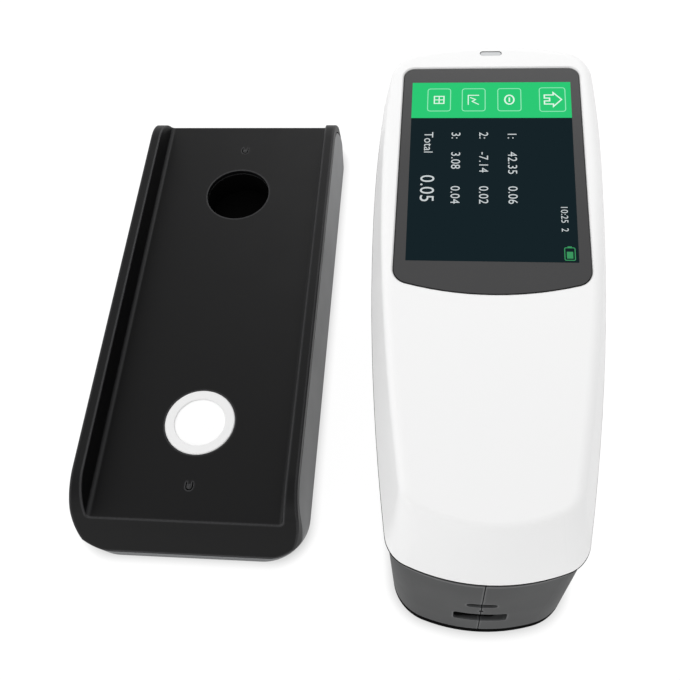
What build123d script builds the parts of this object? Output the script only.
from build123d import *
from math import cos, radians, sin, sqrt, tan
import os

os.makedirs("parts", exist_ok=True)

# A handheld spectrophotometer and its calibration cradle, standing side by side.
# Lengths are in millimetres and angles in degrees. The origin is the middle of the instrument's underside,
# +Z is up, the tail with the sockets is towards -Y and the display end, the nose, towards +Y.

# Instrument: plan outline at its widest line, which is the sloping joint between cover and casing
half_width = 38.7
tail_half_width = 29.6
nose_half_width = 35.8
tail_length = 93.9
nose_length = 86.7
widest_y = 30.0
tail_bow = 7.3
nose_bow = 4.5
tail_corner = 10.5
nose_corner = 12.0
joint_height = 73.3
joint_slope = 10.0

# Lower casing: how far its outline draws in at the bench and under the flared lip
casing_wall = 2.2
base_side_in = 3.7
base_tail_in = 2.3
base_tail_corner = 16.0
base_nose_in = 0.5
tail_side_share = 0.3
lip_height = 3.8
lip_in = 0.9
tongue_height = 1.8
tongue_wall = 1.0
joint_gap = 0.8
seam_gap = 0.3
fit_gap = 0.15
cut_over = 1.0
touch = 0.01

# Top cover: leaning sides, rolled ends and a soft edge round the top face
cover_wall = 2.5
side_lean = 0.19
tail_lean = 0.08
nose_lean = 0.10
tail_roll = 8.0
nose_roll = 12.0
roll_power = 4
dome_rise = 28.0
dome_steps = (0.0, 8.0, 14.0, 19.0, 23.0, 26.0, 30.0)
top_edge_radius = 3.5
top_facing = 0.9
crown_tail_y = -100.0
crown_tail_height = 81.0

# Display window: a plate of glass whose outline widens a little towards the tail
display_y = 31.0
display_height = 99.5
display_slope = 5.4
window_top = 41.0
window_top_half_width = 29.1
window_foot = -41.5
window_foot_half_width = 29.9
window_bow = 4.7
window_top_corner = 3.5
window_foot_corner = 5.0
window_ledge = 3.0
window_chamfer = 0.6
glass_thickness = 1.1
glass_recess = 0.2
glass_gap = 0.2
panel_width = 60.0
panel_length = 77.0
panel_thickness = 3.2
carrier_thickness = 1.5
carrier_margin = 7.5
carrier_screw_x = 22.0
carrier_screw_radius = 1.25
carrier_head_radius = 2.4
carrier_screw_tip = 0.5
carrier_rail = 8.0
carrier_corner = 4.0
carrier_post_radius = 2.8

# Indicator bar above the window
indicator_y = 47.6
indicator_length = 7.0
indicator_width = 1.6
indicator_flange = 0.5
indicator_flange_width = 1.0

# Base plate and the twist-lock measuring aperture in it
base_height = 5.0
base_floor = 2.4
base_edge_chamfer = 0.8
aperture_y = 55.5
aperture_radius = 4.0
ring_radius = 13.0
ring_lug_radius = 15.5
ring_lug_angle = 26.0
ring_lug_clearance = 2.0
ring_lugs = 3
ring_turn = 30.0
ring_layer = 1.2
ring_gap = 0.05
grip_hole_radius = 1.2
grip_hole_pitch = 9.5
grip_hole_depth = 1.2
locating_y = 81.0
locating_radius = 2.4
locating_depth = 1.5
pad_length = 22.0
pad_width = 7.0
pad_corner = 3.3
pad_thickness = 0.9
pad_nose_in = 24.7
pad_tail_in = 25.9
pad_spots = ((21.0, nose_length - pad_nose_in), (19.0, pad_tail_in - tail_length))

# Measure button on the casing's left side, under the thumb
button_y = 5.0
button_z = 56.0
button_length = 24.0
button_width = 11.0
button_proud = 0.7
button_gap = 0.3
button_depth = 4.0
button_outside = 5.0
button_flange = 1.4
button_flange_thickness = 1.2
button_stem_radius = 2.2
button_stem = 2.0
button_stem_root = 0.5
button_switch_size = 6.0
button_switch_depth = 3.5
plunger_radius = 1.7
plunger_proud = 1.1
plunger_length = 2.4
plunger_bore = 3.0
bracket_thickness = 1.6
bracket_width = 9.0
bracket_foot = 5.0
bracket_margin = 1.0

# Slots on the tail: socket above, power slider below, and the reset hole between them
usb_z = 33.4
usb_slot_width = 9.8
usb_slot_height = 3.9
usb_width = 8.6
usb_height = 3.1
usb_depth = 7.0
usb_metal = 0.4
usb_roundness = 0.45
usb_blade_width = 6.2
usb_blade_thickness = 0.6
reset_z = 27.5
reset_radius = 0.8
reset_key_width = 3.0
reset_key_depth = 1.5
reset_key_height = 2.0
power_z = 19.8
power_slot_width = 17.4
power_slot_height = 8.0
power_slot_corner = 1.2
slider_gap = 0.25
slider_travel = 4.0
slider_knob_recess = 1.4
slider_plate_thickness = 1.0
slider_plate_overlap = 0.5
slider_plate_height = 10.0
slider_pocket_in = 5.3
slider_tab = 2.0
slider_tab_depth = 1.2
slider_ridges = 5
slider_ridge_pitch = 1.6
slider_ridge_depth = 0.35
switch_width = 13.0
switch_height = 7.0
switch_depth = 4.6
board_thickness = 1.6
connector_board_width = 34.0
connector_board_height = 40.0
connector_rail = 2.0
connector_rail_wall = 1.5

# Chassis on six posts, the boards on it and the battery under it
chassis_z = 46.6
chassis_thickness = 2.0
chassis_gap = 1.2
chassis_back_in = 23.9
chassis_opening_radius = 11.5
post_radius = 3.4
post_nose_in = 9.7
post_tail_in = 41.9
post_spots = ((26.0, 12.0), (24.0, post_tail_in - tail_length), (22.5, nose_length - post_nose_in))
screw_radius = 1.4
screw_head_radius = 2.7
screw_head_height = 1.3
screw_length = 9.0
standoff_height = 3.4
standoff_radius = 2.6
standoff_margin = 4.0
main_board_gap = 2.0
main_board_length = 84.0
main_board_in = 3.0
board_corner = 2.0
buzzer_radius = 6.0
buzzer_height = 4.2
buzzer_hole_radius = 1.5
buzzer_side_in = 8.0
buzzer_tail_in = 14.0
cell_radius = 9.2
cell_length = 66.0
cell_nub_radius = 3.0
cell_nub = 1.0
battery_in = 57.9
battery_y = battery_in - tail_length
strap_width = 12.0
strap_thickness = 1.4
strap_foot = 7.0
strap_screw_length = 3.0

# Integrating sphere in two halves, the lamp on its flat and the viewing tube at eight degrees
sphere_radius = 20.0
sphere_wall = 4.0
sphere_floor = 0.9
sphere_port_radius = 6.2
sphere_foot_radius = 19.0
sphere_foot_height = 2.2
sphere_flange_radius = 27.5
sphere_flange = 3.0
sphere_screw_circle = 25.6
pan_head_radius = 2.2
lamp_radius = 3.0
lamp_length = 5.0
lamp_rise = 13.0
lamp_boss_radius = 7.0
lamp_boss_reach = 25.0
lamp_board_size = 16.0
view_angle = 8.0
tube_radius = 6.5
tube_bore = 5.2
tube_gap = 0.08
tube_low = 20.4
tube_high = 30.4
lens_thickness = 3.0
lens_crown = 1.0

# Spectrometer block above the sphere
block_width = 46.0
block_length = 52.0
block_height = 22.0
block_wall = 2.0
block_floor = 2.5
block_corner = 3.0
block_inner_corner = 1.0
block_nose_in = 6.7
block_lid = 1.5
block_axis_z = 60.0
block_post_radius = 3.0
mirror_size = 8.0
mirror_thickness = 1.5
mirror_arm = 9.0
mirror_arm_depth = 6.0
mirror_arm_lip = 1.0
slit_y = 48.0
slit_thickness = 0.6
slit_size = 9.0
slit_opening = 0.8
slit_wall_width = 16.0
slit_wall_hole = 3.0
slit_wall_margin = 1.0
grating_radius = 30.0
grating_thickness = 5.0
grating_size = 14.0
sensor_board_width = 30.0
sensor_board_height = 15.0
sensor_width = 20.0
sensor_height = 5.0
sensor_depth = 2.0

# Cradle: where it stands, its outline at the bench and its long section
cradle_x = -104.4
cradle_y = 31.8
cradle_half_width = 43.0
cradle_flare = 1.9
cradle_half_length = 102.3
cradle_corner = 10.0
cradle_waist_corner = 9.5
cradle_waist_z = 8.0
cradle_foot_corner = 16.5
cradle_rim_z = 28.2
cradle_toe = 4.0
cradle_end_angle = 62.0
cradle_crest_radius = 16.0
channel_half_width = 35.8
channel_lean = 1.1
channel_floor_z = 18.0
channel_floor = 2.5
channel_foot_round = 1.5
channel_edge_round = 0.5
rim_round = 0.8
rim_facing = 0.3
tray_skirt = 3.0
tray_gap = 0.5
shell_wall = 2.2
channel_wall = 2.2
cradle_base_recess = 0.5
cradle_base_thickness = 2.2
cradle_post_radius = 3.2
cradle_post_in = 18.3
cradle_post_spots = ((28.0, cradle_half_length - cradle_post_in), (28.0, 28.0))
cradle_pad_radius = 6.0
cradle_pad_cover = 1.0
cradle_pad_in = 32.3
cradle_pad_spots = ((26.0, cradle_half_length - cradle_pad_in),)

# Calibration places in the cradle, equally far from its middle, and the sprung tongues beyond them
tile_rim_radius = 13.5
tile_radius = 9.6
tile_thickness = 4.0
tile_ring_height = 3.2
tile_ring_proud = 0.25
tile_recess = 0.5
tile_ring_chamfer = 0.3
trap_radius = 13.6
trap_wall = 1.8
trap_floor = 1.5
holder_wall = 1.6
tongue_width = 1.9
tongue_length = 3.0
tongue_slot = 0.45
tongue_nib = 0.9
tongue_nib_proud = 0.5


# Solids common to many pieces


def rod(radius, low, high, x=0.0, y=0.0):
    """A vertical cylinder between two heights."""
    return Pos(x, y, low) * extrude(Circle(radius), high - low)


def slab(width, length, low, high, x=0.0, y=0.0, corner=0.0):
    """A flat plate with rounded corners between two heights."""
    outline = RectangleRounded(width, length, corner) if corner else Rectangle(width, length)
    return Pos(x, y, low) * extrude(outline, high - low)


def four_ways(spots):
    """Each spot and its mirror images across both centre lines."""
    return [(x * a, y * b) for x, y in spots for a in (-1, 1) for b in (-1, 1)]


def both_sides(spots):
    """Each spot and its mirror image across the long centre line."""
    return [(x * a, y) for x, y in spots for a in (-1, 1)]


def countersunk_screw(length, x, y, seat):
    """A screw driven upwards, its head sunk in the face at the height named seat."""
    head = Pos(x, y, seat) * Cone(screw_head_radius, screw_radius, screw_head_height,
                                  align=(Align.CENTER, Align.CENTER, Align.MIN))
    return head + rod(screw_radius, seat, seat + length, x, y)


def pan_screw(tip, seat, x, y):
    """A screw driven downwards to its tip, its flat head standing on the height named seat."""
    return rod(screw_radius, tip, seat, x, y) + rod(pan_head_radius, seat, seat + screw_head_height, x, y)


# Forms of the instrument's body


def body_plan(side_in=0.0, tail_in=0.0, nose_in=0.0, inset=0.0, tail_share=1.0, corner=tail_corner):
    """The outline from above: bowed ends, sides that swell to the widest point, round corners."""
    tail_tip = tail_in + inset - tail_length
    nose_tip = nose_length - nose_in - inset
    middle = half_width - side_in - inset
    tail = Vector(tail_half_width - side_in * tail_share - inset, tail_tip + tail_bow)
    nose = Vector(nose_half_width - side_in - inset, nose_tip - nose_bow)
    right = [
        TangentArc((middle, widest_y), tail, tangent=(0, -1)),
        TangentArc((middle, widest_y), nose, tangent=(0, 1)),
    ]
    left = [mirror(edge, about=Plane.YZ) for edge in right]
    ends = [
        ThreePointArc((-tail.X, tail.Y), (0, tail_tip), (tail.X, tail.Y)),
        ThreePointArc((-nose.X, nose.Y), (0, nose_tip), (nose.X, nose.Y)),
    ]
    outline = make_face(right + left + ends)
    outline = fillet(outline.vertices().group_by(Axis.Y)[0], corner - inset)
    return fillet(outline.vertices().group_by(Axis.Y)[-1], nose_corner - inset)


def joint_plane(rise=0.0):
    """The sloping plane between casing and cover, raised by rise."""
    return Plane(origin=(0, 0, joint_height + rise), x_dir=(1, 0, 0),
                 z_dir=(0, -sin(radians(joint_slope)), cos(radians(joint_slope))))


def casing_form(inset=0.0):
    """The lower body: drawn in at the bench, flared to a lip under the cover."""
    foot = body_plan(base_side_in, base_tail_in, base_nose_in, inset, tail_side_share, base_tail_corner)
    return loft([
        Plane.XY * foot,
        joint_plane(-lip_height) * body_plan(lip_in, lip_in / 2, lip_in, inset),
        joint_plane() * body_plan(inset=inset),
    ], ruled=True)


def top_form(drop=0.0):
    """Everything under the top face: flat at the display, then a long curve down to the tail."""
    slope = tan(radians(display_slope))
    nose_y = -crown_tail_y
    flat_end = display_y + window_foot - window_bow
    flat_z = display_height + slope * (flat_end - display_y) - drop
    nose_z = display_height + slope * (nose_y - display_y) - drop
    tail = (crown_tail_y, crown_tail_height - drop)
    side = make_face([
        Line((nose_y, nose_z), (flat_end, flat_z)),
        TangentArc((flat_end, flat_z), tail, tangent=(-1, -slope)),
        Polyline(tail, (crown_tail_y, 0), (nose_y, 0), (nose_y, nose_z)),
    ])
    return extrude(Plane.YZ * side, half_width, both=True)


def dome_form(inset=0.0):
    """The cover's outside: leaning sides, with the tail and nose rolling over faster near the top."""
    sections = []
    for rise in dome_steps:
        roll = (rise / dome_rise) ** roll_power
        plan = body_plan(side_lean * rise, tail_lean * rise + tail_roll * roll,
                         nose_lean * rise + nose_roll * roll, inset)
        sections.append(joint_plane(rise) * plan)
    return loft(sections)


display_plane = Plane(origin=(0, display_y, display_height), x_dir=(1, 0, 0),
                      z_dir=(0, -sin(radians(display_slope)), cos(radians(display_slope))))


def window_outline(grow=0.0):
    """The window's outline on the display plane, with a bowed foot."""
    foot = (window_foot_half_width + grow, window_foot - grow)
    top = (window_top_half_width + grow, window_top + grow)
    outline = make_face([
        Line(foot, top),
        Line(top, (-top[0], top[1])),
        Line((-top[0], top[1]), (-foot[0], foot[1])),
        ThreePointArc((-foot[0], foot[1]), (0, foot[1] - window_bow), foot),
    ])
    outline = fillet(outline.vertices().group_by(Axis.Y)[0], window_foot_corner + grow)
    return fillet(outline.vertices().group_by(Axis.Y)[-1], window_top_corner + grow)


def under_display(sketch, low, high):
    """A prism below the display plane, between two depths."""
    return display_plane * Pos(0, 0, -high) * extrude(sketch, high - low)


carrier_depth = cover_wall + panel_thickness
carrier_screw_y = panel_length / 2 + carrier_margin / 2
carrier_spots = four_ways([(carrier_screw_x, carrier_screw_y)])


def window_seat_edge(edge):
    """True for an edge of the window seat that lies in the display plane."""
    start = display_plane.to_local_coords(edge @ 0)
    middle = display_plane.to_local_coords(edge @ 0.5)
    inside = abs(middle.X) < window_foot_half_width + cut_over and abs(middle.Y) < window_top + window_bow
    return inside and abs(start.Z) < touch and abs(middle.Z) < touch


def make_top_cover():
    """White cover: a domed shell with the window seat, the indicator slot and four posts."""
    cover = split(dome_form() & top_form(), bisect_by=joint_plane(joint_gap), keep=Keep.TOP)
    top_faces = cover.faces().filter_by(lambda face: face.normal_at().Z > top_facing)
    rim = [edge for edge in top_faces.edges() if sum(edge in face.edges() for face in top_faces) == 1]
    cover = fillet(rim, top_edge_radius)
    cover -= dome_form(cover_wall) & top_form(cover_wall)
    cover -= joint_plane() * extrude(body_plan(inset=casing_wall - tongue_wall - fit_gap), tongue_height)
    cover += [under_display(Pos(x, y) * Circle(carrier_post_radius), cover_wall / 2, carrier_depth)
              for x, y in carrier_spots]
    cover -= under_display(window_outline(glass_gap), 0, glass_recess + glass_thickness)
    cover -= under_display(window_outline(-window_ledge), 0, 2 * cover_wall)
    cover = chamfer(cover.edges().filter_by(window_seat_edge), window_chamfer)
    slot = SlotOverall(indicator_length + 2 * glass_gap, indicator_width + 2 * glass_gap)
    cover -= under_display(Pos(0, indicator_y) * slot, -cut_over, 2 * cover_wall)
    cover -= [under_display(Pos(x, y) * Circle(carrier_screw_radius), cover_wall, 2 * carrier_depth)
              for x, y in carrier_spots]
    return cover


# Heights and places that follow from the sizes above

ring_top = base_floor + ring_gap + ring_layer
sphere_seat = ring_top + ring_gap
sphere_z = sphere_seat + sphere_floor + sqrt(sphere_radius ** 2 - sphere_port_radius ** 2)
chassis_top = chassis_z + chassis_thickness
board_z = chassis_top + standoff_height
slider_pocket_y = slider_pocket_in - tail_length
switch_y = slider_pocket_y + ring_gap + slider_plate_thickness + ring_gap
connector_y = switch_y + switch_depth
button_inner_x = half_width - lip_in - casing_wall - button_flange_thickness
block_y = nose_length - block_nose_in - block_length / 2
block_top = chassis_top + block_height
block_floor_z = chassis_top + block_floor
block_tail = block_y - block_length / 2 + block_wall
block_nose = block_y + block_length / 2 - block_wall
mirror_y = aperture_y + (block_axis_z - sphere_z) * tan(radians(view_angle))
post_places = both_sides(post_spots)
chassis_back = chassis_back_in - tail_length
main_board_y = chassis_back + main_board_in + main_board_length / 2
cradle_place = Pos(cradle_x, cradle_y)
view_axis = Pos(0, aperture_y, sphere_z) * Rot(X=-view_angle)


def tail_cut(sketch, z, inner):
    """A prism through the tail wall, from outside the tail to the plane y = inner."""
    outside = -tail_length - cut_over
    face = Plane(origin=(0, outside, z), x_dir=(1, 0, 0), z_dir=(0, 1, 0))
    return face * extrude(sketch, inner - outside)


def side_pill(grow, x_from, x_to):
    """The button's outline as a prism along X between two places left of the middle."""
    face = Plane.YZ.offset(x_to) * Pos(button_y, button_z)
    return extrude(face * SlotOverall(button_length + 2 * grow, button_width + 2 * grow), x_from - x_to)


def side_rod(radius, x_from, x_to):
    """A round bar along X on the button's axis."""
    return extrude(Plane.YZ.offset(x_from) * Pos(button_y, button_z) * Circle(radius), x_to - x_from)


# Casing, base plate and what is let into them

base_screws = Part() + [countersunk_screw(screw_length, x, y, 0) for x, y in post_places]
base_pads = Part() + [slab(pad_width, pad_length, 0, pad_thickness, x, y, pad_corner)
                      for x, y in both_sides(pad_spots)]


def make_casing():
    """The grey casing before it is parted: wall, tongue for the cover, slots and the button's hole."""
    casing = split(casing_form() - casing_form(casing_wall), bisect_by=Plane.XY.offset(base_height),
                   keep=Keep.TOP)
    tongue = body_plan(inset=casing_wall - tongue_wall) - body_plan(inset=casing_wall)
    casing += joint_plane().offset(-tongue_wall) * extrude(tongue, tongue_wall + tongue_height)
    usb_slot = RectangleRounded(usb_slot_width, usb_slot_height, usb_slot_height * usb_roundness)
    power_slot = RectangleRounded(power_slot_width, power_slot_height, power_slot_corner)
    casing -= tail_cut(usb_slot, usb_z, connector_y)
    casing -= tail_cut(power_slot, power_z, connector_y)
    casing -= tail_cut(Circle(reset_radius), reset_z, connector_y)
    pocket_width = power_slot_width + 2 * (slider_travel + slider_plate_overlap + slider_gap)
    pocket_height = slider_plate_height + 2 * fit_gap
    casing -= Pos(0, slider_pocket_y, power_z) * Box(pocket_width, switch_depth, pocket_height,
                                                     align=(Align.CENTER, Align.MIN, Align.CENTER))
    return casing - side_pill(button_gap, -half_width - button_outside, -button_inner_x + button_depth)


def make_base_plate():
    """Black tray: floor, low wall, inner rim, aperture hole with bayonet notches and the sphere's seat."""
    rim = casing_wall + fit_gap
    base = split(casing_form(), bisect_by=Plane.XY.offset(base_height), keep=Keep.BOTTOM)
    base = chamfer(base.edges().group_by(Axis.Z)[0], base_edge_chamfer)
    base += split(casing_form(rim), bisect_by=Plane.XY.offset(base_height + tongue_height), keep=Keep.BOTTOM)
    base -= split(casing_form(rim + tongue_wall), bisect_by=Plane.XY.offset(base_floor), keep=Keep.TOP)
    base -= [rod(post_radius + fit_gap, base_floor, 2 * base_height, x, y) for x, y in post_places]
    base += rod(sphere_foot_radius, base_floor, sphere_seat, 0, aperture_y)
    base -= rod(ring_lug_radius + ring_gap, base_floor, sphere_seat, 0, aperture_y)
    base -= rod(ring_radius + ring_gap, 0, sphere_seat, 0, aperture_y)
    notch = lug(ring_lug_radius + ring_gap, ring_lug_angle + ring_lug_clearance, 0, sphere_seat)
    base -= [Pos(0, aperture_y) * Rot(Z=ring_turn + 360 / ring_lugs * n) * notch for n in range(ring_lugs)]
    rail_depth = board_thickness + 2 * connector_rail_wall
    rail_y = connector_y + board_thickness / 2
    base += slab(connector_board_width + 2 * connector_rail_wall, rail_depth, base_floor / 2,
                 base_floor + connector_rail, 0, rail_y)
    base -= slab(connector_board_width, board_thickness, base_floor, base_floor + connector_rail, 0, rail_y)
    base -= base_pads
    base -= [rod(locating_radius, 0, locating_depth, 0, y) for y in (-locating_y, locating_y)]
    return base - base_screws


def lug(reach, angle, low, high):
    """A bayonet lug: a sector of a disc between two heights, centred on +X."""
    first = (reach * cos(radians(angle / 2)), -reach * sin(radians(angle / 2)))
    last = (first[0], -first[1])
    outline = make_face([Line((0, 0), first), ThreePointArc(first, (reach, 0), last), Line(last, (0, 0))])
    return Pos(0, 0, low) * extrude(outline, high - low)


def make_aperture_ring():
    """Twist-lock disc with a conical measuring aperture, bayonet lugs and two grip holes."""
    ring = rod(ring_radius, 0, ring_top)
    ring_lug = lug(ring_lug_radius, ring_lug_angle, base_floor + ring_gap, ring_top)
    ring += [Rot(Z=360 / ring_lugs * n) * ring_lug for n in range(ring_lugs)]
    ring -= Cone(aperture_radius, sphere_port_radius, ring_top,
                 align=(Align.CENTER, Align.CENTER, Align.MIN))
    ring -= [rod(grip_hole_radius, 0, grip_hole_depth, x) for x in (-grip_hole_pitch, grip_hole_pitch)]
    return Pos(0, aperture_y) * ring


# Display, in the sloping frame of the top face


def carrier_screw(x, y):
    """A screw through the carrier into the cover's post."""
    under = carrier_depth + carrier_thickness
    shank = under_display(Pos(x, y) * Circle(carrier_screw_radius), cover_wall + carrier_screw_tip, under)
    return shank + under_display(Pos(x, y) * Circle(carrier_head_radius), under, under + screw_head_height)


def make_display_carrier():
    """The plate that clamps the display against the cover."""
    outline = RectangleRounded(2 * carrier_screw_x + carrier_rail, panel_length + 2 * carrier_margin,
                               carrier_corner)
    outline -= RectangleRounded(2 * carrier_screw_x - carrier_rail, panel_length - 2 * carrier_margin,
                                carrier_corner)
    outline -= [Pos(x, y) * Circle(carrier_screw_radius) for x, y in carrier_spots]
    return under_display(outline, carrier_depth, carrier_depth + carrier_thickness)


def make_light_pipe():
    """The indicator bar, with a flange under the cover."""
    bar = SlotOverall(indicator_length, indicator_width)
    wide = SlotOverall(indicator_length + 2 * indicator_flange_width,
                       indicator_width + 2 * indicator_flange_width)
    pipe = under_display(Pos(0, indicator_y) * bar, glass_recess, cover_wall)
    return pipe + under_display(Pos(0, indicator_y) * wide, cover_wall, cover_wall + indicator_flange)


# Button and power slider


def make_measure_button():
    """Pill cap that follows the casing's side, its inner flange and its stem."""
    inner = casing_wall + ring_gap
    reach = (-half_width - button_outside, -button_inner_x + button_depth)
    cap = casing_form(-button_proud) & side_pill(0, *reach)
    cap += casing_form(inner) & side_pill(button_flange, *reach)
    cap -= casing_form(inner + button_flange_thickness)
    return cap + side_rod(button_stem_radius, stem_end, flange_x - button_stem_root)


flange_inside = casing_form(casing_wall + ring_gap + button_flange_thickness)
flange_x = (flange_inside & side_rod(touch, -half_width, 0)).bounding_box().min.X
stem_end = flange_x + button_stem
switch_front = stem_end + plunger_proud
bracket_x = switch_front + button_switch_depth


def make_button_switch():
    """Key switch housing with a bore for its plunger."""
    housing = Pos(switch_front, button_y, button_z) * Box(button_switch_depth, button_switch_size,
                                                          button_switch_size,
                                                          align=(Align.MIN, Align.CENTER, Align.CENTER))
    return housing - side_rod(plunger_radius + ring_gap, switch_front, switch_front + plunger_bore)


def make_button_bracket():
    """Angle that stands on the chassis and carries the key switch."""
    top = button_z + button_switch_size / 2 + bracket_margin
    stand = (Align.MIN, Align.CENTER, Align.MIN)
    angle = Box(bracket_thickness, bracket_width, top - chassis_top, align=stand)
    angle += Box(bracket_foot, bracket_width, bracket_thickness, align=stand)
    return Pos(bracket_x, button_y, chassis_top) * angle


def make_power_slider():
    """Ridged knob in the slot, with the plate behind it that keeps the slot closed."""
    knob_width = power_slot_width - slider_travel - 2 * slider_gap
    knob_x = -slider_travel / 2
    back = slider_pocket_y + ring_gap
    front = base_tail_in + slider_knob_recess - tail_length
    face = Plane(origin=(knob_x, front, power_z), x_dir=(1, 0, 0), z_dir=(0, 1, 0))
    outline = RectangleRounded(knob_width, power_slot_height - 2 * slider_gap, power_slot_corner)
    knob = face * extrude(outline, back - front)
    for n in range(slider_ridges):
        x = knob_x + (n - (slider_ridges - 1) / 2) * slider_ridge_pitch
        knob -= Pos(x, front, power_z) * Box(slider_ridge_pitch / 2, 2 * slider_ridge_depth,
                                             power_slot_height)
    plate_width = power_slot_width + slider_travel + 2 * slider_plate_overlap
    plate = Pos(knob_x, back, power_z) * Box(plate_width, slider_plate_thickness, slider_plate_height,
                                             align=(Align.CENTER, Align.MIN, Align.CENTER))
    tab = Pos(knob_x, back, power_z) * Box(slider_tab, slider_plate_thickness + slider_tab_depth, slider_tab,
                                           align=(Align.CENTER, Align.MIN, Align.CENTER))
    return knob + plate + tab


def make_power_switch():
    """Slide switch body with the slot that the slider's tab runs in."""
    body = Pos(0, switch_y, power_z) * Box(switch_width, switch_depth, switch_height,
                                           align=(Align.CENTER, Align.MIN, Align.CENTER))
    slot_width = slider_tab + slider_travel + 2 * slider_gap
    slot_depth = slider_tab_depth + slider_gap
    return body - Pos(0, switch_y, power_z) * Box(slot_width, 2 * slot_depth, slider_tab + 2 * slider_gap)


def make_usb_socket():
    """Metal socket shell with its tongue."""
    face = Plane(origin=(0, connector_y - usb_depth, usb_z), x_dir=(1, 0, 0), z_dir=(0, 1, 0))
    corner = usb_height * usb_roundness
    shell = RectangleRounded(usb_width, usb_height, corner)
    bore = RectangleRounded(usb_width - 2 * usb_metal, usb_height - 2 * usb_metal, corner - usb_metal)
    blade = Rectangle(usb_blade_width, usb_blade_thickness)
    socket = face * extrude(shell, usb_depth) - face * extrude(bore, usb_depth - 2 * usb_metal)
    return socket + face * Pos(0, 0, usb_metal) * extrude(blade, usb_depth - 2 * usb_metal)


def make_connector_board():
    """Upright board behind the tail, with the reset key on it."""
    board = Pos(0, connector_y, base_floor) * Box(connector_board_width, board_thickness,
                                                  connector_board_height,
                                                  align=(Align.CENTER, Align.MIN, Align.MIN))
    key = Pos(0, connector_y, reset_z) * Box(reset_key_width, reset_key_depth, reset_key_height,
                                             align=(Align.CENTER, Align.MAX, Align.CENTER))
    return board + key


# Chassis, boards and battery: the board is as wide as the button's bracket lets it be

main_board_width = -2 * (bracket_x + bracket_thickness + main_board_gap)
standoff_places = [(x, main_board_y + y) for x, y in four_ways([(main_board_width / 2 - standoff_margin,
                                                                  main_board_length / 2 - standoff_margin)])]


def make_chassis():
    """Plate on six long posts, with standoffs for the board and a round opening over the sphere."""
    plate = casing_form(casing_wall + chassis_gap) & slab(3 * half_width, 2 * tail_length, chassis_z,
                                                          chassis_top, 0, chassis_back + tail_length)
    plate += [rod(post_radius, base_floor, chassis_z, x, y) for x, y in post_places]
    plate += [rod(standoff_radius, chassis_top, board_z, x, y) for x, y in standoff_places]
    plate -= rod(chassis_opening_radius, chassis_z, chassis_top, 0, aperture_y)
    return plate - base_screws - strap_screws


chip_layout = ((14.0, 14.0, 1.4, 4.0, 15.0), (16.0, 12.0, 2.6, -10.0, -20.0), (9.0, 9.0, 1.2, 12.0, -13.0),
               (6.0, 8.0, 1.6, -14.0, 11.0), (18.0, 5.0, 3.0, 0.0, 37.0))


def make_main_board():
    """Main circuit board with its larger components."""
    board = slab(main_board_width, main_board_length, board_z, board_z + board_thickness, 0, main_board_y,
                 board_corner)
    return board + [slab(w, d, board_z + board_thickness, board_z + board_thickness + h, x, main_board_y + y)
                    for w, d, h, x, y in chip_layout]


def make_buzzer():
    """Round sounder on the board, with the hole its sound comes out of."""
    foot = board_z + board_thickness
    spot = (main_board_width / 2 - buzzer_side_in, main_board_y - main_board_length / 2 + buzzer_tail_in)
    can = rod(buzzer_radius, foot, foot + buzzer_height, *spot)
    return can - rod(buzzer_hole_radius, foot + buzzer_height / 2, foot + buzzer_height, *spot)


def make_battery_pack():
    """Two round cells side by side in one sleeve, held up against the chassis."""
    z = chassis_z - cell_radius
    face = Plane(origin=(0, battery_y - cell_length / 2, z), x_dir=(1, 0, 0), z_dir=(0, 1, 0))
    sleeve = SlotCenterToCenter(2 * cell_radius, 2 * cell_radius)
    nub = extrude(Circle(cell_nub_radius), -cell_nub)
    nubs = [face * Pos(x, 0) * nub for x in (-cell_radius, cell_radius)]
    return face * extrude(sleeve, cell_length) + nubs


strap_x = 2 * cell_radius + strap_thickness + strap_foot / 2
strap_screws = Part() + [countersunk_screw(strap_screw_length, x, battery_y, chassis_z - strap_thickness)
                         for x in (-strap_x, strap_x)]


def make_battery_strap():
    """Metal band under the cells, screwed to the chassis on both sides."""
    z = chassis_z - cell_radius
    face = Plane(origin=(0, battery_y - strap_width / 2, z), x_dir=(1, 0, 0), z_dir=(0, -1, 0))
    wide = 2 * (2 * cell_radius + strap_thickness)
    loop = SlotCenterToCenter(2 * cell_radius, 2 * (cell_radius + strap_thickness))
    loop += Pos(0, cell_radius / 2) * Rectangle(wide, cell_radius)
    loop -= SlotCenterToCenter(2 * cell_radius, 2 * cell_radius)
    loop -= Pos(0, cell_radius / 2) * Rectangle(wide - 2 * strap_thickness, cell_radius)
    loop -= Pos(0, cell_radius * 1.5) * Rectangle(wide, cell_radius)
    band = face * extrude(loop, -strap_width)
    band += [slab(strap_foot + strap_thickness, strap_width, chassis_z - strap_thickness, chassis_z,
                  side * (strap_x - strap_thickness / 2), battery_y) for side in (-1, 1)]
    return band - strap_screws


# Integrating sphere, lamp and viewing tube

sphere_spots = [(sphere_screw_circle, 0), (-sphere_screw_circle, 0), (0, sphere_screw_circle),
                (0, -sphere_screw_circle)]
sphere_screws = Part() + [pan_screw(sphere_z - sphere_flange, sphere_z + sphere_flange, x, aperture_y + y)
                          for x, y in sphere_spots]


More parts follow.
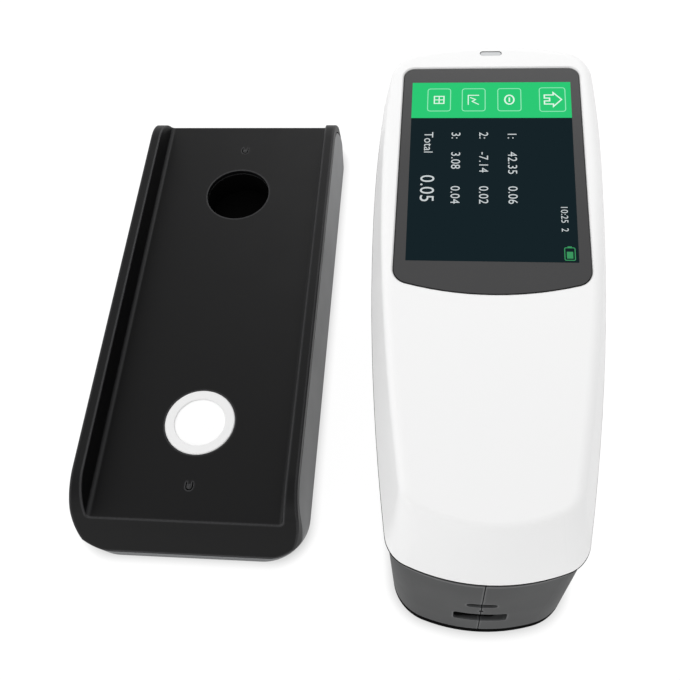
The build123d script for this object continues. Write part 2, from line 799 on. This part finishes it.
def make_sphere():
    """The whole integrating sphere: white ball with a foot, a flange, a lamp boss and three ports."""
    ball = Pos(0, aperture_y, sphere_z) * Sphere(sphere_radius + sphere_wall)
    ball += rod(sphere_flange_radius, sphere_z - sphere_flange, sphere_z + sphere_flange, 0, aperture_y)
    ball += lamp_axis * extrude(Circle(lamp_boss_radius), lamp_boss_reach)
    ball = split(ball, bisect_by=Plane.XY.offset(sphere_seat), keep=Keep.TOP)
    ball += rod(sphere_foot_radius, sphere_seat, sphere_seat + sphere_foot_height, 0, aperture_y)
    ball -= Pos(0, aperture_y, sphere_z) * Sphere(sphere_radius)
    ball -= rod(sphere_port_radius, 0, sphere_z, 0, aperture_y)
    ball -= lamp_axis * extrude(Circle(lamp_radius), lamp_boss_reach + cut_over)
    ball -= view_axis * extrude(Circle(tube_radius + tube_gap), 2 * sphere_radius)
    return ball - sphere_screws


lamp_axis = Plane(origin=(0, aperture_y, sphere_z + lamp_rise), x_dir=(1, 0, 0), z_dir=(0, -1, 0))


def make_lamp_board():
    """Square board on the boss with the flash lamp in the bore."""
    board = lamp_axis.offset(lamp_boss_reach) * extrude(
        RectangleRounded(lamp_board_size, lamp_board_size, board_corner), board_thickness)
    lamp = extrude(Circle(lamp_radius), lamp_length)
    return board + lamp_axis.offset(lamp_boss_reach - lamp_length) * lamp


def make_lens_tube():
    """Viewing tube from the sphere up into the spectrometer."""
    outline = Circle(tube_radius) - Circle(tube_bore)
    return view_axis * Pos(0, 0, tube_low) * extrude(outline, tube_high - tube_low)


def make_collecting_lens():
    """A lens with a flat underside and a domed top, in the tube's bore."""
    bulge = (tube_bore ** 2 + lens_crown ** 2) / (2 * lens_crown)
    lens = Cylinder(tube_bore, lens_thickness + lens_crown, align=(Align.CENTER, Align.CENTER, Align.MIN))
    lens &= Pos(0, 0, lens_thickness + lens_crown - bulge) * Sphere(bulge)
    return view_axis * Pos(0, 0, tube_high - lens_thickness - lens_crown) * lens


# Spectrometer block

block_spots = [(x, block_y + y) for x, y in four_ways([(block_width / 2 - block_post_radius,
                                                         block_length / 2 - block_post_radius)])]
lid_screws = Part() + [pan_screw(block_top - screw_length / 2, block_top + block_lid, x, y)
                       for x, y in block_spots]


def make_spectrometer_body():
    """Open box with corner posts, a wall for the slit and an overhanging arm for the mirror."""
    outer = slab(block_width, block_length, chassis_top, block_top, 0, block_y, block_corner)
    body = outer - slab(block_width - 2 * block_wall, block_length - 2 * block_wall, block_floor_z,
                        block_top, 0, block_y, block_inner_corner)
    body += [rod(block_post_radius, chassis_top, block_top, x, y) for x, y in block_spots]
    slit_wall_height = block_axis_z + slit_size / 2 + slit_wall_margin - chassis_top
    body += Pos(0, slit_y, chassis_top) * Box(slit_wall_width, block_wall, slit_wall_height,
                                              align=(Align.CENTER, Align.MAX, Align.MIN))
    body -= Plane.XZ.offset(-slit_y) * Pos(0, block_axis_z) * extrude(Circle(slit_wall_hole), block_wall)
    back = mirror_y + block_axis_z + mirror_thickness * sqrt(2)
    low_y = mirror_y + mirror_size / 2
    high_y = mirror_y - mirror_size / 2
    top = back - high_y
    lip_y = low_y + mirror_arm_lip
    arm_y = low_y + mirror_arm_depth
    arm = Polyline((lip_y, back - lip_y), (high_y, top), (arm_y, top), (arm_y, chassis_top),
                   (lip_y, chassis_top), close=True)
    body += extrude(Plane.YZ * make_face(arm), mirror_arm / 2, both=True)
    body -= view_axis * extrude(Circle(tube_radius + tube_gap), tube_high + cut_over)
    return body - lid_screws


def make_fold_mirror():
    """Square mirror on the arm's sloping face."""
    plate = Box(mirror_size, mirror_size, mirror_thickness, align=(Align.CENTER, Align.CENTER, Align.MIN))
    return Pos(0, mirror_y, block_axis_z) * Rot(X=-45) * plate


def make_entrance_slit():
    """Thin plate with the slit, on the nose side of its wall."""
    outline = Rectangle(slit_size, slit_size) - Rectangle(slit_opening, slit_size / 2)
    return Plane.XZ.offset(-slit_y) * Pos(0, block_axis_z) * extrude(outline, -slit_thickness)


def make_concave_grating():
    """Square block against the tail end of the box, with a hollowed face."""
    block = Pos(0, block_tail, block_axis_z) * Box(grating_size, grating_thickness, grating_size,
                                                   align=(Align.CENTER, Align.MIN, Align.CENTER))
    hollow = Sphere(grating_radius)
    return block - Pos(0, block_tail + grating_thickness / 2 + grating_radius, block_axis_z) * hollow


def make_sensor_board():
    """Board with the line sensor, against the nose end of the box."""
    board = Pos(0, block_nose, block_axis_z) * Box(sensor_board_width, board_thickness, sensor_board_height,
                                                   align=(Align.CENTER, Align.MAX, Align.CENTER))
    return board + Pos(0, block_nose - board_thickness, block_axis_z) * Box(
        sensor_width, sensor_depth, sensor_height, align=(Align.CENTER, Align.MAX, Align.CENTER))


# Cradle, in its own frame: the middle of its footprint on the bench


def cradle_profile(inset=0.0):
    """Long section: a short upright toe, a sloping end, a rounded crest and the level rim."""
    end = cradle_half_length - inset
    rim = cradle_rim_z - inset
    slope = tan(radians(cradle_end_angle))
    toe_y = cradle_half_length + cradle_toe / slope - inset / sin(radians(cradle_end_angle))
    crest_y = toe_y - rim / slope
    toe_z = (toe_y - end) * slope
    outline = make_face(Polyline((end, 0), (end, toe_z), (crest_y, rim), (-crest_y, rim), (-end, toe_z),
                                 (-end, 0), close=True))
    crests = outline.vertices().filter_by(lambda corner: corner.Y > rim - touch)
    return fillet(crests, cradle_crest_radius - inset)


def cradle_form(side_in=0.0, top_in=0.0):
    """The cradle's outside, drawn in at the sides and lowered along its long section."""
    length = 2 * (cradle_half_length - side_in)
    sections = []
    corners = ((0, cradle_foot_corner), (cradle_waist_z, cradle_waist_corner), (cradle_rim_z, cradle_corner))
    for z, corner in corners:
        width = 2 * (cradle_half_width - side_in - cradle_flare * z / cradle_rim_z)
        sections.append(Plane.XY.offset(z) * RectangleRounded(width, length, corner - side_in))
    walls = loft(sections, ruled=True)
    return walls & extrude(Plane.YZ * cradle_profile(top_in), cradle_half_width, both=True)


def channel_form(grow=0.0, low=0.0):
    """The channel the instrument sits in, or its liner when grown, open at both ends."""
    floor = channel_floor_z - low
    top = 2 * cradle_rim_z
    lean = channel_lean / (cradle_rim_z - channel_floor_z)
    foot = channel_half_width + grow
    head = foot + lean * (top - floor)
    section = make_face(Polyline((-foot, floor), (foot, floor), (head, top), (-head, top), close=True))
    section = fillet(section.vertices().group_by(Axis.Y)[0], channel_foot_round + grow)
    return extrude(Plane.XZ * section, 2 * cradle_half_length, both=True)


def channel_rim_edge(edge):
    """True for an edge where the channel opens: along the rims, the crests and the floor's ends."""
    middle = edge @ 0.5
    on_profile = cradle_profile().wire().distance_to(Vector(middle.Y, middle.Z, 0)) < touch
    in_channel = abs(middle.X) < channel_half_width + 2 * channel_lean and middle.Z > channel_floor_z - touch
    return on_profile and in_channel


cradle_post_places = four_ways(cradle_post_spots)
cradle_base_top = cradle_base_recess + cradle_base_thickness
tray_underside = channel_floor_z - channel_floor
cradle_screws = Part() + [countersunk_screw(screw_length, x, y, cradle_base_recess)
                          for x, y in cradle_post_places]
cradle_pads = Part() + [rod(cradle_pad_radius, 0, cradle_base_top - cradle_pad_cover, x, y)
                        for x, y in four_ways(cradle_pad_spots)]


def make_cradle_tray():
    """Black tray: rim and sloping ends with a skirt, the channel, two round openings and two catches."""
    tray = cradle_form()
    tops = tray.faces().filter_by(lambda face: face.normal_at().Z > rim_facing)
    outline = [edge for edge in tops.edges() if sum(edge in face.edges() for face in tops) == 1]
    tray = fillet(outline, rim_round)
    liner = channel_form(channel_wall, channel_floor) & tray
    toe = slab(3 * cradle_half_width, 3 * cradle_half_length, 0, cradle_toe)
    tray = (tray - cradle_form(-cut_over, tray_skirt) - toe) + liner
    tray -= channel_form()
    tray = fillet(tray.edges().filter_by(channel_rim_edge), channel_edge_round)
    tray += [rod(cradle_post_radius, cradle_base_top, channel_floor_z - channel_floor / 2, x, y)
             for x, y in cradle_post_places]
    tray -= rod(tile_rim_radius, tray_underside, channel_floor_z, 0, -aperture_y)
    tray -= rod(trap_radius, tray_underside, channel_floor_z, 0, aperture_y)
    slot = SlotOverall(tongue_length + 2 * tongue_slot, tongue_width + 2 * tongue_slot, rotation=90)
    slot -= SlotOverall(tongue_length, tongue_width, rotation=90)
    slot -= Pos(0, tongue_length / 2) * Rectangle(tongue_width, tongue_length)
    nib_y = (tongue_width - tongue_length) / 2
    for y in (-locating_y, locating_y):
        tray -= Pos(0, y, tray_underside) * extrude(slot, channel_floor)
        tray += Pos(0, y + nib_y, channel_floor_z + tongue_nib_proud - tongue_nib) * Sphere(tongue_nib)
    return tray - cradle_screws


def make_cradle_shell():
    """Grey shell under the tray: side walls and ends, with a raised inner land that the tray rests on."""
    cover_line = tray_skirt + tray_gap
    shell = cradle_form(0, cover_line) + cradle_form(shell_wall - tongue_wall, tray_skirt)
    shell += cradle_form() & slab(3 * cradle_half_width, 3 * cradle_half_length, 0, cradle_toe - tray_gap)
    shell -= cradle_form(shell_wall, tray_skirt + shell_wall)
    shell -= channel_form(channel_wall + fit_gap, channel_floor + fit_gap)
    return shell


def make_cradle_base():
    """Flat cover under the cradle."""
    reach = shell_wall + fit_gap
    plate = slab(2 * (cradle_half_width - reach), 2 * (cradle_half_length - reach), cradle_base_recess,
                 cradle_base_top, corner=cradle_foot_corner - reach)
    plate &= cradle_form(reach, tray_skirt + reach)
    plate -= [rod(cradle_pad_radius + fit_gap, cradle_base_recess, cradle_base_top - cradle_pad_cover, x, y)
              for x, y in four_ways(cradle_pad_spots)]
    return plate - cradle_screws


tile_ring_top = channel_floor_z + tile_ring_proud
tile_ring_low = tile_ring_top - tile_ring_height
tile_top = tile_ring_top - tile_recess
foam_top = tile_top - tile_thickness


def make_tile_ring():
    """White rim round the calibration tile, with softened edges."""
    ring = rod(tile_rim_radius - fit_gap, tile_ring_low, tile_ring_top) - rod(tile_radius, tile_ring_low,
                                                                               tile_ring_top)
    return Pos(0, -aperture_y) * chamfer(ring.edges().group_by(Axis.Z)[-1], tile_ring_chamfer)


def make_tile_holder():
    """Cup under the tray for the tile, its rim and the foam."""
    cup = rod(tile_rim_radius + holder_wall, cradle_base_top, tray_underside)
    cup -= rod(tile_rim_radius, tile_ring_low, tray_underside)
    cup -= rod(tile_radius, cradle_base_top + holder_wall, tile_ring_low)
    return Pos(0, -aperture_y) * cup


def make_black_trap():
    """Dark cup under the round opening."""
    cup = rod(trap_radius + trap_wall, cradle_base_top, tray_underside)
    return Pos(0, aperture_y) * (cup - rod(trap_radius, cradle_base_top + trap_floor, tray_underside))


# Make and write every piece

casing = make_casing()
sphere = make_sphere()
seam_right = Plane.YZ.offset(seam_gap / 2)
seam_left = Plane.YZ.offset(-seam_gap / 2)
sphere_middle = Plane.XY.offset(sphere_z)

pieces = {
    "top_cover": make_top_cover(),
    "casing_right": split(casing, bisect_by=seam_right, keep=Keep.TOP),
    "casing_left": split(casing, bisect_by=seam_left, keep=Keep.BOTTOM),
    "base_plate": make_base_plate(),
    "base_pads": base_pads,
    "base_screws": base_screws,
    "aperture_ring": make_aperture_ring(),
    "display_window": under_display(window_outline(), glass_recess, glass_recess + glass_thickness),
    "display_panel": under_display(Rectangle(panel_width, panel_length), cover_wall, carrier_depth),
    "display_carrier": make_display_carrier(),
    "carrier_screws": Part() + [carrier_screw(x, y) for x, y in carrier_spots],
    "light_pipe": make_light_pipe(),
    "measure_button": make_measure_button(),
    "button_plunger": side_rod(plunger_radius, stem_end, stem_end + plunger_length),
    "button_switch": make_button_switch(),
    "button_bracket": make_button_bracket(),
    "power_slider": make_power_slider(),
    "power_switch": make_power_switch(),
    "usb_socket": make_usb_socket(),
    "connector_board": make_connector_board(),
    "chassis": make_chassis(),
    "main_board": make_main_board(),
    "buzzer": make_buzzer(),
    "battery_pack": make_battery_pack(),
    "battery_strap": make_battery_strap(),
    "strap_screws": strap_screws,
    "sphere_upper": split(sphere, bisect_by=sphere_middle, keep=Keep.TOP),
    "sphere_lower": split(sphere, bisect_by=sphere_middle, keep=Keep.BOTTOM),
    "sphere_screws": sphere_screws,
    "lamp_board": make_lamp_board(),
    "lens_tube": make_lens_tube(),
    "collecting_lens": make_collecting_lens(),
    "spectrometer_body": make_spectrometer_body(),
    "spectrometer_lid": slab(block_width, block_length, block_top, block_top + block_lid, 0, block_y,
                             block_corner) - lid_screws,
    "lid_screws": lid_screws,
    "fold_mirror": make_fold_mirror(),
    "entrance_slit": make_entrance_slit(),
    "concave_grating": make_concave_grating(),
    "sensor_board": make_sensor_board(),
}

cradle_pieces = {
    "cradle_tray": make_cradle_tray(),
    "cradle_shell": make_cradle_shell(),
    "cradle_base": make_cradle_base(),
    "cradle_screws": cradle_screws,
    "cradle_pads": cradle_pads,
    "tile_ring": make_tile_ring(),
    "white_tile": rod(tile_radius, foam_top, tile_top, 0, -aperture_y),
    "tile_foam": rod(tile_radius, cradle_base_top + holder_wall, foam_top, 0, -aperture_y),
    "tile_holder": make_tile_holder(),
    "black_trap": make_black_trap(),
}

for name, solid in pieces.items():
    export_step(solid, f"parts/{name}.step")
for name, solid in cradle_pieces.items():
    export_step(cradle_place * solid, f"parts/{name}.step")
